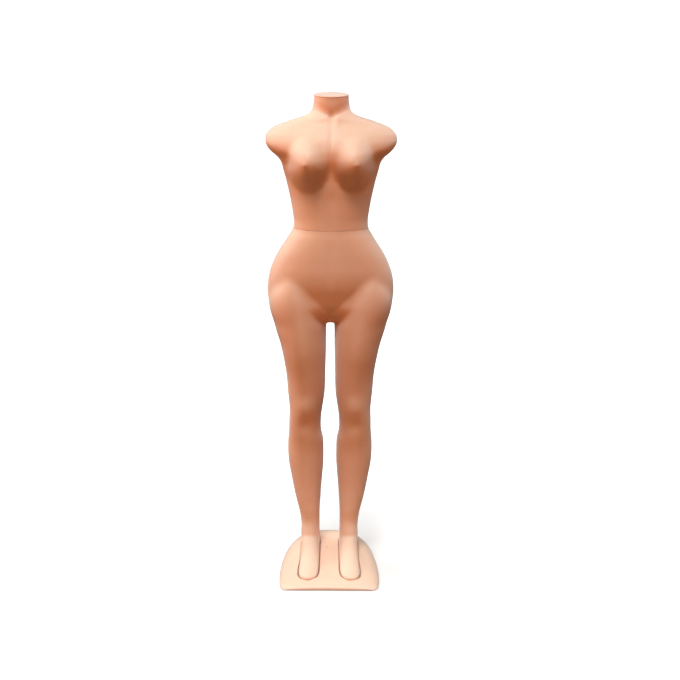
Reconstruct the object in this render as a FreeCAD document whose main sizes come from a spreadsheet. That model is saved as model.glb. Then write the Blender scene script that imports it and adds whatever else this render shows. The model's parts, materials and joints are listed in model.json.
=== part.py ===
"""Full body display mannequin: a headless, armless shop figure that stands in a moulded base.

The figure is two blow moulded shells. The torso lifts off the lower body at the waist, where a keyed
spigot on a pivot bolt lets it be turned. The feet are bolted down in the base's two foot wells.
The figure stands along +Z and faces -Y. The origin is on the floor, under the middle of the base.
Lengths are in millimetres. Every driving size is a cell of one of the two spreadsheets.
"""
import FreeCAD
import Part

import math
import os

import Sketcher

V = FreeCAD.Vector
UP = V(0, 0, 1)
CENTRE = V(0, 0, 0)
doc = FreeCAD.newDocument("display_mannequin")

# ---------------------------------------------------------------- driving dimensions

DIMENSIONS = {
    # shells
    "shell_wall": 2.5,
    "parting_height": 1115,
    "parting_gap": 0.6,
    # breasts and buttocks, as domes that stand out from the form's levels
    "bust_lift": 49,
    "bust_x": 70,
    "bust_height": 1298,
    "bust_reach_x": 58,
    "bust_reach_up": 92,
    "bust_reach_down": 69,
    "seat_lift": 35,
    "seat_x": 78,
    "seat_height": 930,
    "seat_reach_x": 88,
    "seat_reach_up": 115,
    "seat_reach_down": 98,
    # waist fittings, on the pivot axis
    "waist_axis_y": -6,
    "waist_half_width": 110,
    "waist_half_depth": 76,
    "plate_inset": 8,
    "plate_clearance": 0.4,
    "plate_thickness": 5,
    "ledge_inset": 19,
    "ledge_thickness": 3.2,
    "spigot_radius": 36,
    "spigot_tall": 40,
    "spigot_wall": 5,
    "spigot_web": 10,
    "spigot_flange_radius": 46,
    "spigot_flange_thickness": 4,
    "spigot_rib_thickness": 3,
    "key_width": 10,
    "key_reach": 4.6,
    "socket_clearance": 0.4,
    "socket_radius": 45,
    "socket_roof": 3,
    "socket_headroom": 3.8,
    "socket_collar_radius": 54,
    "socket_collar_tall": 5,
    "flange_clearance": 0.1,
    "flange_side_clearance": 2,
    "friction_thickness": 1.5,
    "friction_radius": 44,
    # pivot bolt and its hardware
    "pivot_radius": 5,
    "pivot_head_tall": 6.4,
    "pivot_head_flats": 17,
    "pivot_running_clearance": 0.05,
    "head_washer_radius": 13,
    "head_washer_thickness": 2,
    "load_washer_radius": 17,
    "load_washer_thickness": 2.5,
    "spring_washer_radius": 12.5,
    "spring_washer_thickness": 1.1,
    "spring_washer_dish": 0.5,
    "lock_nut_tall": 10,
    "pivot_end": 4,
    # plate screws, three each side of the oval plate
    "screw_radius": 2,
    "screw_head_radius": 4,
    "screw_head_tall": 2.4,
    "screw_length": 14,
    "screw_side_x": 95,
    "screw_corner_x": 52,
    "screw_corner_y": 52.3,
    # neck cap
    "neck_slope": 6,
    "neck_cut_height": 1497.5,
    "neck_cut_y": 6,
    "cap_thickness": 4,
    "cap_reveal": 0.3,
    "cap_skirt_depth": 14,
    "cap_skirt_wall": 2.5,
    "cap_skirt_clearance": 0.7,
    # base
    "base_wall": 3,
    "base_underside": 2,
    "well_gap": 4,
    "well_floor_gap": 0.3,
    "vent_radius": 1.5,
    "vent_front_x": -22.8,
    "vent_front_y": -61.7,
    "vent_back_x": -9,
    "vent_back_y": 12,
    "pad_radius": 12,
    "pad_thickness": 5,
    "pad_pocket_clearance": 0.2,
    "pad_front_x": 112,
    "pad_front_y": -104,
    "pad_back_x": 78,
    "pad_back_y": 92,
    # feet fixings
    "foot_bolt_radius": 3,
    "foot_bolt_length": 18,
    "foot_bolt_head_radius": 6.2,
    "foot_bolt_head_tall": 4.5,
    "foot_washer_radius": 9,
    "foot_washer_thickness": 1.5,
    "foot_bolt_web": 3,
    "column_radius": 13,
    "column_wall": 3,
    "insert_radius": 4.5,
    "insert_tall": 14,
    "insert_boss_radius": 8,
    "ball_bolt_x": 65.6,
    "ball_bolt_y": -90,
    "heel_bolt_x": 61,
    "heel_bolt_y": 36,
    # fill bung at the back of the base
    "bung_height": 42,
    "bung_bore_radius": 10,
    "bung_flange_radius": 15,
    "bung_core_radius": 14.5,
    "bung_recess_radius": 17,
    "bung_seat_y": 133,
    "bung_plug_length": 16,
    "bung_plug_clearance": 0.25,
    "bung_seal_thickness": 2,
    "bung_flange_thickness": 3,
    "bung_grip_tall": 5,
    "bung_grip_width": 6,
}

# Levels of the figure's form, from the floor up. Each level is an oval: its height, half width and how far
# it reaches in front of (-Y) and behind (+Y) the figure's own axis. Limbs add the middle of the oval in X.
TORSO_LEVELS = {
    "parting": (1115, 110, 82, 70),
    "waist": (1136, 108.5, 82, 70),
    "lower_rib": (1165, 112, 83, 74),
    "mid_rib": (1200, 118, 85, 82),
    "underbust": (1230, 124.5, 88, 89),
    "bust_low": (1260, 131.5, 92, 93),
    "bust": (1285, 138.5, 98, 96),
    "armpit": (1305, 143, 105, 97),
    "armpit_top": (1322, 154, 109, 96),
    "stump_low": (1338, 173, 109, 94),
    "stump": (1352, 184.5, 105, 92),
    "stump_wide": (1368, 190.5, 97, 89),
    "stump_top": (1384, 189, 86.5, 87),
    "shoulder": (1400, 175, 75, 84),
    "shoulder_slope": (1414, 147, 64, 81),
    "collar": (1424, 112.5, 56, 78),
    "collar_top": (1434, 83, 50, 74),
    "neck_root": (1443, 65, 47, 69),
    "neck_low": (1455, 55, 45, 64),
    "neck": (1475, 51, 44, 60),
    "neck_over": (1520, 47.5, 43, 55),
}
PELVIS_LEVELS = {
    "crotch": (828, 20, 22, 30),
    "crotch_round": (838, 66, 44, 66),
    "groin": (850, 119, 58, 86),
    "groin_high": (865, 160, 69, 101),
    "seat_low": (878, 181, 75, 110),
    "seat": (888, 187, 80, 115),
    "hip_low": (905, 190, 82, 120),
    "hip": (925, 191, 86, 124),
    "hip_high": (945, 190, 88.5, 124),
    "belly": (965, 187, 89.5, 120),
    "belly_high": (985, 182, 89.5, 114),
    "flank_low": (1004, 175, 89, 107),
    "flank": (1022, 167, 88.5, 99),
    "flank_high": (1040, 157, 88, 91),
    "flare": (1058, 145.5, 87, 83),
    "flare_high": (1076, 133.5, 86, 77),
    "waist_low": (1095, 122, 84.5, 72),
    "waist_lip": (1108, 113.5, 82.5, 70),
    "parting_low": (1115, 110, 82, 70),
}
LEG_LEVELS = {
    "heel": (80, 61, 28, 25, 50),
    "ankle_bone": (110, 60.5, 29, 22, 46),
    "ankle": (140, 60.5, 28, 19, 42),
    "ankle_top": (162, 61.5, 29, 19, 41),
    "shin_low": (203, 64, 32, 24, 40),
    "shin": (245, 68, 38.5, 27, 46),
    "calf_low": (286, 71, 44, 29, 54),
    "calf_under": (328, 73, 49.5, 32, 63),
    "calf": (368, 75, 54.5, 35, 70),
    "calf_top": (409, 76, 56, 38, 70),
    "knee_under": (449, 76, 54.5, 43, 64),
    "knee_low": (465, 77, 52, 46, 58),
    "knee": (489, 78, 49, 50, 52),
    "knee_cap": (515, 77.5, 49, 54, 49),
    "knee_top": (540, 76, 49.5, 56, 50),
    "thigh_low": (568, 74, 52, 59, 54),
    "thigh_lower": (607, 73.5, 56.5, 62, 60),
    "thigh_mid": (646, 74, 58.5, 66, 66),
    "thigh": (685, 76, 61, 70, 73),
    "thigh_upper": (724, 79, 65, 74, 81),
    "thigh_high": (762, 83, 69.5, 77, 90),
    "thigh_top": (800, 89, 75.5, 80, 100),
    "thigh_crotch": (828, 92.5, 79.5, 82, 108),
    "thigh_groin": (845, 97, 81.5, 83, 112),
    "thigh_fold": (865, 100, 83, 84, 115),
    "thigh_seat": (885, 102.5, 84.5, 84, 116),
    "thigh_hip": (915, 103.5, 81.5, 81, 112),
    "thigh_inside": (945, 100, 73, 76, 102),
    "thigh_end": (975, 95, 62, 68, 88),
}
# Stations along a foot, from toe to heel: Y, the middle in X, half width, and the heights of sole and instep.
FOOT_STATIONS = {
    "toe_tip": (-121, 67, 10, 16, 26),
    "toe_round": (-117, 67, 18, 13, 31),
    "toes": (-110, 67, 25, 12, 36),
    "ball_front": (-98, 66.5, 29.5, 12, 42),
    "ball": (-80, 65.5, 31, 12.5, 54),
    "arch_front": (-60, 64, 30, 20, 74),
    "arch": (-40, 62.5, 28.5, 33, 98),
    "instep": (-20, 61.5, 28, 46, 122),
    "ankle_front": (0, 61, 28, 56, 138),
    "heel_front": (25, 61, 28, 60, 140),
    "heel": (45, 61, 26, 62, 128),
    "heel_round": (57, 61, 20, 68, 112),
    "heel_tip": (62, 61, 10, 78, 98),
}
# Stations along the base, from its straight front edge to its back: Y, half width and height of the mound.
BASE_STATIONS = {
    "front_edge": (-151.5, 138, 9),
    "front_lip": (-145, 147.5, 16),
    "front": (-131, 153.5, 23),
    "toe_line": (-104, 157, 31),
    "ball_line": (-62, 158.5, 45),
    "middle": (-20, 156.5, 60),
    "instep_line": (20, 151, 74),
    "heel_line": (55, 142, 85),
    "crest": (85, 128, 87),
    "back_slope": (110, 109, 80),
    "back": (130, 87, 65),
    "back_low": (143, 61, 45),
    "back_edge": (150, 38, 24),
}


def fill_sheet(name, rows):
    """A spreadsheet of aliased cells, one value each, with the alias written beside it."""
    sheet = doc.addObject("Spreadsheet::Sheet", name)
    for number, (alias, value) in enumerate(rows, start=1):
        sheet.set(f"A{number}", alias)
        sheet.set(f"B{number}", str(value))
        sheet.setAlias(f"B{number}", alias)
    return sheet


def form_rows():
    """Every level's numbers as (alias, value) rows: torso_waist_1 is the first number of the torso's waist."""
    tables = {
        "torso": TORSO_LEVELS,
        "pelvis": PELVIS_LEVELS,
        "leg": LEG_LEVELS,
        "foot": FOOT_STATIONS,
        "mound": BASE_STATIONS,
    }
    for part, table in tables.items():
        for level, numbers in table.items():
            for place, number in enumerate(numbers, start=1):
                yield f"{part}_{level}_{place}", number


dims = fill_sheet("dims", DIMENSIONS.items())
form = fill_sheet("form", list(form_rows()))
doc.recompute()


def size(alias):
    return float(dims.get(alias))


def stations(part, table):
    """A table's columns, read back from the form sheet: a list of positions and a list per further number."""
    places = len(next(iter(table.values())))
    return [[float(form.get(f"{part}_{level}_{n}")) for level in table] for n in range(1, places + 1)]


# ---------------------------------------------------------------- smooth forms


def between(xs, ys, x):
    """The value at x of a smooth curve through the stations that never overshoots them (monotone cubic)."""
    if x <= xs[0]:
        return ys[0]
    if x >= xs[-1]:
        return ys[-1]
    chords = [(y1 - y0) / (x1 - x0) for x0, x1, y0, y1 in zip(xs, xs[1:], ys, ys[1:])]

    def slope(i):
        if i == 0 or i == len(xs) - 1:
            return chords[0] if i == 0 else chords[-1]
        before, after = chords[i - 1], chords[i]
        if before * after <= 0:
            return 0.0
        a = 2 * (xs[i + 1] - xs[i]) + (xs[i] - xs[i - 1])
        b = (xs[i + 1] - xs[i]) + 2 * (xs[i] - xs[i - 1])
        return (a + b) / (a / before + b / after)

    i = max(k for k in range(len(xs) - 1) if xs[k] <= x)
    run = xs[i + 1] - xs[i]
    t = (x - xs[i]) / run
    start = ys[i] * (1 + 2 * t) * (1 - t) ** 2 + run * slope(i) * t * (1 - t) ** 2
    end = ys[i + 1] * t * t * (3 - 2 * t) + run * slope(i + 1) * t * t * (t - 1)
    return start + end


def ease(t):
    """0 below 0, 1 above 1 and smooth between."""
    t = max(0.0, min(1.0, t))
    return t * t * (3 - 2 * t)


def rounded(value, power):
    """cos or sin of an angle, made squarer by a power above 2, with its sign kept."""
    return math.copysign(abs(value) ** (2 / power), value)


def skin(rings, positions):
    """A solid whose side is one smooth surface through the rings, closed flat at both ends.

    The rings are closed rows of equally many points, and positions spaces them along the form."""
    count = len(rings[0])
    curves = []
    for points in rings:
        curve = Part.BSplineCurve()
        curve.interpolate(Points=points, PeriodicFlag=True, Parameters=[float(i) for i in range(count + 1)])
        curves.append(curve)
    poles = []
    for number in range(1, curves[0].NbPoles + 1):
        along = Part.BSplineCurve()
        along.interpolate(Points=[c.getPole(number) for c in curves], Parameters=positions)
        poles.append(along.getPoles())
    round_knots, round_counts = curves[0].getKnots(), curves[0].getMultiplicities()
    surface = Part.BSplineSurface()
    surface.buildFromPolesMultsKnots(
        poles, round_counts, along.getMultiplicities(), round_knots, along.getKnots(), True, False, 3, 3
    )
    side = surface.toShape()
    ends = [Part.Face(Part.Wire(e)) for e in side.Edges if e.isClosed() and not e.isSeam(side)]
    solid = Part.makeSolid(Part.makeShell([side] + ends))
    if not solid.isValid():
        solid.fix(0.001, 0.001, 0.01)
    if solid.Volume < 0:
        solid.reverse()
    return solid


def only_solid(shape):
    """The one solid that a boolean leaves."""
    if len(shape.Solids) != 1:
        raise ValueError(f"a boolean left {len(shape.Solids)} solids")
    return shape.Solids[0]


RING_POINTS = 60


def oval(height, middle, half_width, front, back, bump=None):
    """A level's ring of points. bump(x, height, sine) moves a point in Y; sine is below 0 at the front."""
    points = []
    for number in range(RING_POINTS):
        angle = 2 * math.pi * (number + 0.5) / RING_POINTS
        x, sine = half_width * math.cos(angle), math.sin(angle)
        y = (back - front) / 2 + (back + front) / 2 * sine
        if bump:
            y += bump(x, height, sine)
        points.append(V(middle + x, y, height))
    return points


def inset_value(xs, ys, x, inset):
    """A half size at x for a form made thinner by inset on every side, its ends included."""
    return min(between(xs, ys, x - inset), between(xs, ys, x + inset)) - inset


def stack(part, table, low, high, step, inset=0.0, bump=None):
    """The form between two heights, made thinner all round by inset."""
    columns = stations(part, table)
    count = round((high - low) / step)
    heights = [low + (high - low) * i / count for i in range(count + 1)]
    rings = []
    for height in heights:
        middle = between(columns[0], columns[-4], height) if len(columns) == 5 else 0.0
        numbers = [inset_value(columns[0], column, height, inset) for column in columns[-3:]]
        rings.append(oval(height, middle, *numbers, bump=bump))
    return skin(rings, heights)


def domes(name, x, height, power):
    """How far the pair of domes called name stands out at a place."""
    rise = height - size(f"{name}_height")
    reach_z = size(f"{name}_reach_up") if rise > 0 else size(f"{name}_reach_down")
    total = 0.0
    for middle in (-size(f"{name}_x"), size(f"{name}_x")):
        nearness = 1 - ((x - middle) / size(f"{name}_reach_x")) ** 2 - (rise / reach_z) ** 2
        total += size(f"{name}_lift") * max(0.0, nearness) ** power
    return total


def bust(x, height, sine):
    """The two breasts: full and round below, and sloping off gently above."""
    if sine >= 0:
        return 0.0
    slope_start, slope_run = size("bust_height") - 23, size("bust_reach_up")
    power = 1.15 + 0.6 * ease((height - slope_start) / slope_run)
    return -domes("bust", x, height, power) * ease(-1.7 * sine)


def seat(x, height, sine):
    """The two buttocks."""
    if sine <= 0:
        return 0.0
    return domes("seat", x, height, 1.3) * ease(2 * sine)


def torso_form(low, high, inset=0.0):
    return stack("torso", TORSO_LEVELS, low, high, 8, inset, bust)


SIDE_POWER = 2.3
SOLE_POWER = 3.2
INSTEP_POWER = 2.0


FOOT_SECTIONS = 30
FOOT_POINTS = 28


def foot_form(inset=0.0):
    """A foot, flat under the sole and round over the instep, made thinner all round by inset."""
    columns = stations("foot", FOOT_STATIONS)
    places, middles, half_widths, soles, insteps = columns
    front, back = places[0] + inset, places[-1] - inset
    positions = [front + (back - front) * i / FOOT_SECTIONS for i in range(FOOT_SECTIONS + 1)]
    rings = []
    for position in positions:
        middle = between(places, middles, position)
        half_width = inset_value(places, half_widths, position, inset)
        instep = inset_value(places, insteps, position, inset)
        sole = -inset_value(places, [-sole for sole in soles], position, inset)
        points = []
        for number in range(FOOT_POINTS):
            angle = 2 * math.pi * (number + 0.5) / FOOT_POINTS
            sine = math.sin(angle)
            power = SOLE_POWER if sine < 0 else INSTEP_POWER
            x = middle + half_width * rounded(math.cos(angle), SIDE_POWER)
            z = (sole + instep) / 2 + (instep - sole) / 2 * rounded(sine, power)
            points.append(V(x, position, z))
        rings.append(points)
    return skin(rings, positions)


def lower_form(parting, lowest, inset=0.0):
    """Pelvis, both legs and both feet as one solid, made thinner all round by inset."""
    pelvis = stack("pelvis", PELVIS_LEVELS, lowest, parting, 11, inset, seat)
    leg_heights = stations("leg", LEG_LEVELS)[0]
    leg = stack("leg", LEG_LEVELS, leg_heights[0] + inset, leg_heights[-1] - inset, 25, inset)
    right = only_solid(leg.fuse(foot_form(inset)))
    left = right.mirror(CENTRE, V(1, 0, 0))
    return only_solid(pelvis.fuse([right, left]))


def half_space(floor):
    """A block wider than the figure that stands on the height floor and reaches past what it cuts."""
    width, tall = 400, 200
    return Part.makeBox(width, width, tall, V(-width / 2, -width / 2, floor))


def both_sides(shape):
    """The shape and its mirror image across the middle of the figure."""
    return [shape, shape.mirror(CENTRE, V(1, 0, 0))]


def waist_oval(inset, low, high):
    """An upright oval prism, inset from the shells' outline at the waist."""
    centre = V(0, size("waist_axis_y"), low)
    ellipse = Part.Ellipse(centre, size("waist_half_width") - inset, size("waist_half_depth") - inset)
    return Part.Face(Part.Wire(ellipse.toShape())).extrude(V(0, 0, high - low))


def screw_places():
    """X and Y of the six plate screws, from the waist axis."""
    side, x, y = size("screw_side_x"), size("screw_corner_x"), size("screw_corner_y")
    return [(side, 0), (x, y), (-x, y), (-side, 0), (-x, -y), (x, -y)]


def foot_bolt_places():
    """X, Y and the sole's height at each of the four foot bolts."""
    columns = stations("foot", FOOT_STATIONS)
    places = []
    for end in ("ball", "heel"):
        x, y = size(f"{end}_bolt_x"), size(f"{end}_bolt_y")
        sole = between(columns[0], columns[3], y)
        places += [(x, y, sole), (-x, y, sole)]
    return places


def put(label, shape):
    """A feature of the document that holds a form neither Part Design nor Part primitives can make."""
    feature = doc.addObject("Part::Feature", label)
    feature.Label = label
    feature.Shape = shape
    return feature


NODES = {}

# ---------------------------------------------------------------- heights that follow from the sheet

gap = size("parting_gap") / 2
lower_top = size("parting_height") - gap
upper_bottom = size("parting_height") + gap
plate_low = lower_top - size("plate_thickness")
plate_high = upper_bottom + size("plate_thickness")
ledge = size("ledge_thickness")
wall = size("shell_wall")
axis_y = size("waist_axis_y")

# ---------------------------------------------------------------- torso shell and neck cap

slope = math.radians(size("neck_slope"))
cap_normal = V(0, -math.sin(slope), math.cos(slope))
cap_point = V(0, size("neck_cut_y"), size("neck_cut_height"))

# the neck's form runs on to this height, past the sloping cut that trims it
NECK_END = 1515


def above_neck_cut(drop):
    """Everything above the sloping plane that lies drop below the cap's top face."""
    corner = cap_point - cap_normal * drop
    block = half_space(0)
    block.Placement = FreeCAD.Placement(corner, FreeCAD.Rotation(UP, cap_normal))
    return block


def neck_ring(inset):
    """The neck's outline at the cap, inset all round, as a flat face."""
    columns = stations("torso", TORSO_LEVELS)
    numbers = [between(columns[0], column, cap_point.z) - inset for column in columns[1:]]
    points = [p - cap_normal * (p - cap_point).dot(cap_normal) for p in oval(cap_point.z, 0.0, *numbers)]
    curve = Part.BSplineCurve()
    curve.interpolate(Points=points, PeriodicFlag=True)
    return Part.Face(Part.Wire(curve.toShape()))


def torso_shell():
    outside = torso_form(upper_bottom, NECK_END)
    outside = only_solid(outside.cut(above_neck_cut(size("cap_thickness") + size("cap_reveal"))))
    inside = torso_form(plate_high + ledge, NECK_END + 4, wall)
    shell = outside.cut(inside)
    shell = shell.cut(waist_oval(size("plate_inset"), upper_bottom - 1, plate_high))
    shell = shell.cut(waist_oval(size("ledge_inset"), upper_bottom - 1, plate_high + ledge + 1))
    drills = []
    for x, y in screw_places():
        drills.append(Part.makeCylinder(size("screw_radius") + 0.05, 12, V(x, axis_y + y, plate_high - 1)))
    return only_solid(shell.cut(drills))


def neck_cap():
    lid = torso_form(NECK_END - 45, NECK_END + 4).common(above_neck_cut(size("cap_thickness")))
    lid = lid.cut(above_neck_cut(0))
    outer = wall + size("cap_skirt_clearance")
    depth = cap_normal * -(size("cap_thickness") + size("cap_skirt_depth"))
    skirt = neck_ring(outer).extrude(depth)
    hollow = neck_ring(outer + size("cap_skirt_wall")).extrude(depth * 1.2)
    hollow.translate(cap_normal * -size("cap_thickness"))
    inner_lid = neck_ring(outer).extrude(cap_normal * -size("cap_thickness"))
    skirt = skirt.cut(inner_lid).cut(hollow)
    return only_solid(lid.fuse(skirt))


NODES["torso_shell"] = put("torso_shell", torso_shell())
NODES["neck_cap"] = put("neck_cap", neck_cap())

# ---------------------------------------------------------------- lower body shell


def lower_body_shell():
    crotch = stations("pelvis", PELVIS_LEVELS)[0][0]
    outside = lower_form(lower_top, crotch)
    inside = lower_form(plate_low - ledge, crotch + wall, wall)
    shell = only_solid(outside.cut(inside))
    shell = shell.cut(waist_oval(size("plate_inset"), plate_low, lower_top + 1))
    shell = shell.cut(waist_oval(size("ledge_inset"), plate_low - ledge - 1, lower_top + 1))
    drills = []
    for x, y in screw_places():
        drills.append(Part.makeCylinder(size("screw_radius") + 0.05, 12, V(x, axis_y + y, plate_low - 11)))
    bosses = []
    depth = size("insert_tall") + 2
    for x, y, sole in foot_bolt_places():
        bosses.append(Part.makeCylinder(size("insert_boss_radius"), depth, V(x, y, sole + wall / 2)))
        drills.append(Part.makeCylinder(size("insert_radius"), depth, V(x, y, sole - 2)))
    return only_solid(shell.fuse(bosses).cut(drills))


NODES["lower_body_shell"] = put("lower_body_shell", lower_body_shell())

# ---------------------------------------------------------------- base


MOUND_SECTIONS = 26
MOUND_POINTS = 40
MOUND_POWER = 2.6


def mound(inset, floor):
    """The base's outer form, or its inside when inset on every side, cut off flat at floor."""
    columns = stations("mound", BASE_STATIONS)
    underside = size("base_underside")
    front, back = columns[0][0] + inset, columns[0][-1] - inset
    positions = [front + (back - front) * i / MOUND_SECTIONS for i in range(MOUND_SECTIONS + 1)]
    rings = []
    for position in positions:
        half_width, tall = [inset_value(columns[0], column, position, inset) for column in columns[1:]]
        tall -= underside
        points = []
        for number in range(MOUND_POINTS):
            angle = 2 * math.pi * (number + 0.5) / MOUND_POINTS
            x = half_width * rounded(math.cos(angle), MOUND_POWER)
            z = underside + tall * rounded(math.sin(angle), MOUND_POWER)
            points.append(V(x, position, z))
        rings.append(points)
    whole = skin(rings, positions)
    return only_solid(whole.common(half_space(floor)))


def foot_well(grow, drop):
    """The space over one sole: the foot's plan grown sideways, down to drop below the sole."""
    columns = stations("foot", FOOT_STATIONS)
    rows = list(zip(*columns))
    outer = [V(x + half + grow, y, 0) for y, x, half, _, _ in rows[1:-1]]
    inner = [V(x - half - grow, y, 0) for y, x, half, _, _ in rows[1:-1]]
    toe = V(rows[0][1], rows[0][0] - grow, 0)
    heel = V(rows[-1][1], rows[-1][0] + grow, 0)
    plan = Part.BSplineCurve()
    plan.interpolate(Points=[toe] + outer + [heel] + inner[::-1], PeriodicFlag=True)
    column = Part.Face(Part.Wire(plan.toShape())).extrude(V(0, 0, 250))
    sole = Part.BSplineCurve()
    line = [V(0, y, between(columns[0], columns[3], y) - drop) for y in range(-112, 50, 6)]
    line = [V(0, -160, line[0].z)] + line + [V(0, 110, line[-1].z)]
    sole.interpolate(line)
    sides = Part.makePolygon([line[-1], V(0, 110, 240), V(0, -160, 240), line[0]])
    over = Part.Face(Part.Wire([sole.toShape()] + sides.Edges)).extrude(V(200, 0, 0))
    return only_solid(column.common(over))


def along_y(radius, length, start):
    """A cylinder on the bung's axis, reaching back from a Y."""
    return Part.makeCylinder(radius, length, V(0, start, size("bung_height")), V(0, 1, 0))


seat_y = size("bung_seat_y")


def base_shell():
    under, base_wall = size("base_underside"), size("base_wall")
    floor_gap = size("well_floor_gap")
    inner_floor = under + base_wall
    outside = mound(0, under)
    cavity = mound(base_wall, inner_floor)
    keep = both_sides(foot_well(size("well_gap") + base_wall, floor_gap + base_wall))
    for x, y, sole in foot_bolt_places():
        keep.append(Part.makeCylinder(size("column_radius"), sole, V(x, y, 0)))
    for x, y in pad_places():
        keep.append(Part.makeCylinder(size("pad_radius") + base_wall, under + 6, V(x, y, 0)))
    keep.append(along_y(size("bung_core_radius"), 60, seat_y - 22))
    keep.append(along_y(size("bung_recess_radius") + base_wall, 60, seat_y - base_wall))
    cavity = cavity.cut(keep)
    shell = only_solid(outside.cut(cavity.Solids))
    cuts = both_sides(foot_well(size("well_gap"), floor_gap))
    for x, y, sole in foot_bolt_places():
        seat_z = sole - floor_gap - size("foot_bolt_web")
        cuts.append(Part.makeCylinder(size("column_radius") - size("column_wall"), seat_z, V(x, y, 0)))
        cuts.append(Part.makeCylinder(size("foot_bolt_radius") + 0.3, sole + 5, V(x, y, 0)))
    for x, y in pad_places():
        radius = size("pad_radius") + size("pad_pocket_clearance")
        cuts.append(Part.makeCylinder(radius, size("pad_thickness"), V(x, y, 0)))
    for end in ("front", "back"):
        vent = V(size(f"vent_{end}_x"), size(f"vent_{end}_y"), inner_floor + 5)
        cuts.append(Part.makeCylinder(size("vent_radius"), 100, vent))
    cuts.append(along_y(size("bung_bore_radius"), 80, seat_y - 40))
    cuts.append(along_y(size("bung_recess_radius"), 60, seat_y))
    return only_solid(shell.cut(cuts))


def pad_places():
    """X and Y of the four rubber pads."""
    places = []
    for end in ("front", "back"):
        x, y = size(f"pad_{end}_x"), size(f"pad_{end}_y")
        places += [(x, y), (-x, y)]
    return places


NODES["base_shell"] = put("base_shell", base_shell())

# ---------------------------------------------------------------- turned and pressed fittings


def new_body(label):
    body = doc.addObject("PartDesign::Body", label)
    body.Label = label
    body.AllowCompound = True
    NODES[label] = body
    return body


def new_sketch(body, start="0"):
    """A sketch on the body's own XY plane, raised to the height that the expression start gives."""
    plane = next(f for f in body.Origin.OriginFeatures if f.Role == "XY_Plane")
    sketch = body.newObject("Sketcher::SketchObject", f"{body.Name}_sketch")
    sketch.AttachmentSupport = (plane, [""])
    sketch.MapMode = "FlatFace"
    sketch.setExpression("AttachmentOffset.Base.z", start)
    return sketch


def bind(sketch, constraint, expression):
    sketch.setExpression(f"Constraints[{sketch.addConstraint(constraint)}]", expression)


def circle(sketch, radius, place=None):
    """A circle about the origin, or about a place given as two expressions."""
    number = sketch.addGeometry(Part.Circle(CENTRE, UP, 1))
    if place is None:
        sketch.addConstraint(Sketcher.Constraint("Coincident", number, 3, -1, 1))
    else:
        bind(sketch, Sketcher.Constraint("DistanceX", number, 3, 1), place[0])
        bind(sketch, Sketcher.Constraint("DistanceY", number, 3, 1), place[1])
    bind(sketch, Sketcher.Constraint("Radius", number, 1), radius)


def hexagon(sketch, flats):
    """A hexagon about the origin, flats across."""
    corners = [V(math.cos(math.radians(60 * i)), math.sin(math.radians(60 * i)), 0) for i in range(6)]
    sides = [sketch.addGeometry(Part.LineSegment(a, b)) for a, b in zip(corners, corners[1:] + corners[:1])]
    rim = sketch.addGeometry(Part.Circle(CENTRE, UP, 1), True)
    sketch.addConstraint(Sketcher.Constraint("Coincident", rim, 3, -1, 1))
    for side, following in zip(sides, sides[1:] + sides[:1]):
        sketch.addConstraint(Sketcher.Constraint("Coincident", side, 2, following, 1))
        sketch.addConstraint(Sketcher.Constraint("PointOnObject", side, 2, rim))
    for side in sides[1:]:
        sketch.addConstraint(Sketcher.Constraint("Equal", sides[0], side))
    sketch.addConstraint(Sketcher.Constraint("PointOnObject", sides[0], 1, -1))
    bind(sketch, Sketcher.Constraint("Radius", rim, 1), f"({flats}) / 2 / cos(30 deg)")


def rectangle(sketch, near, far, width):
    """A rectangle from near to far along X, centred on the X axis. All three sizes are expressions."""
    corners = [V(1, -1, 0), V(2, -1, 0), V(2, 1, 0), V(1, 1, 0)]
    sides = [sketch.addGeometry(Part.LineSegment(a, b)) for a, b in zip(corners, corners[1:] + corners[:1])]
    for side, following in zip(sides, sides[1:] + sides[:1]):
        sketch.addConstraint(Sketcher.Constraint("Coincident", side, 2, following, 1))
    for side, kind in zip(sides, ("Horizontal", "Vertical") * 2):
        sketch.addConstraint(Sketcher.Constraint(kind, side))
    bind(sketch, Sketcher.Constraint("DistanceX", sides[0], 1, 1), near)
    bind(sketch, Sketcher.Constraint("DistanceX", sides[0], 2, 2), far)
    bind(sketch, Sketcher.Constraint("DistanceY", sides[0], 1, -1), f"-({width}) / 2")
    bind(sketch, Sketcher.Constraint("DistanceY", sides[2], 1, 1), f"({width}) / 2")


def pad(body, sketch, length, taper=0.0):
    feature = body.newObject("PartDesign::Pad", f"{body.Name}_pad")
    feature.Profile = sketch
    feature.setExpression("Length", length)
    feature.TaperAngle = taper
    sketch.Visibility = False
    return feature


def pocket(body, sketch, depth):
    """A pocket cut upward from its sketch."""
    feature = body.newObject("PartDesign::Pocket", f"{body.Name}_pocket")
    feature.Profile = sketch
    feature.setExpression("Length", depth)
    feature.Reversed = True
    return feature


def discs(body, radius, start, thick, places=(None,), hole=None):
    """A layer of round discs, one at each place, with a hole through each where hole is given."""
    sketch = new_sketch(body, start)
    for place in places:
        circle(sketch, radius, place)
        if hole:
            circle(sketch, hole, place)
    return pad(body, sketch, thick)


def place_on_axis(body, height):
    """Puts a body on the waist's pivot axis at a height given as an expression."""
    body.setExpression("Placement.Base.y", "dims.waist_axis_y")
    body.setExpression("Placement.Base.z", height)


def axis_washer(label, radius, thick, height, hole="dims.pivot_radius + dims.pivot_running_clearance"):
    body = new_body(label)
    discs(body, radius, "0", thick, hole=hole)
    place_on_axis(body, height)
    return body


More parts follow.
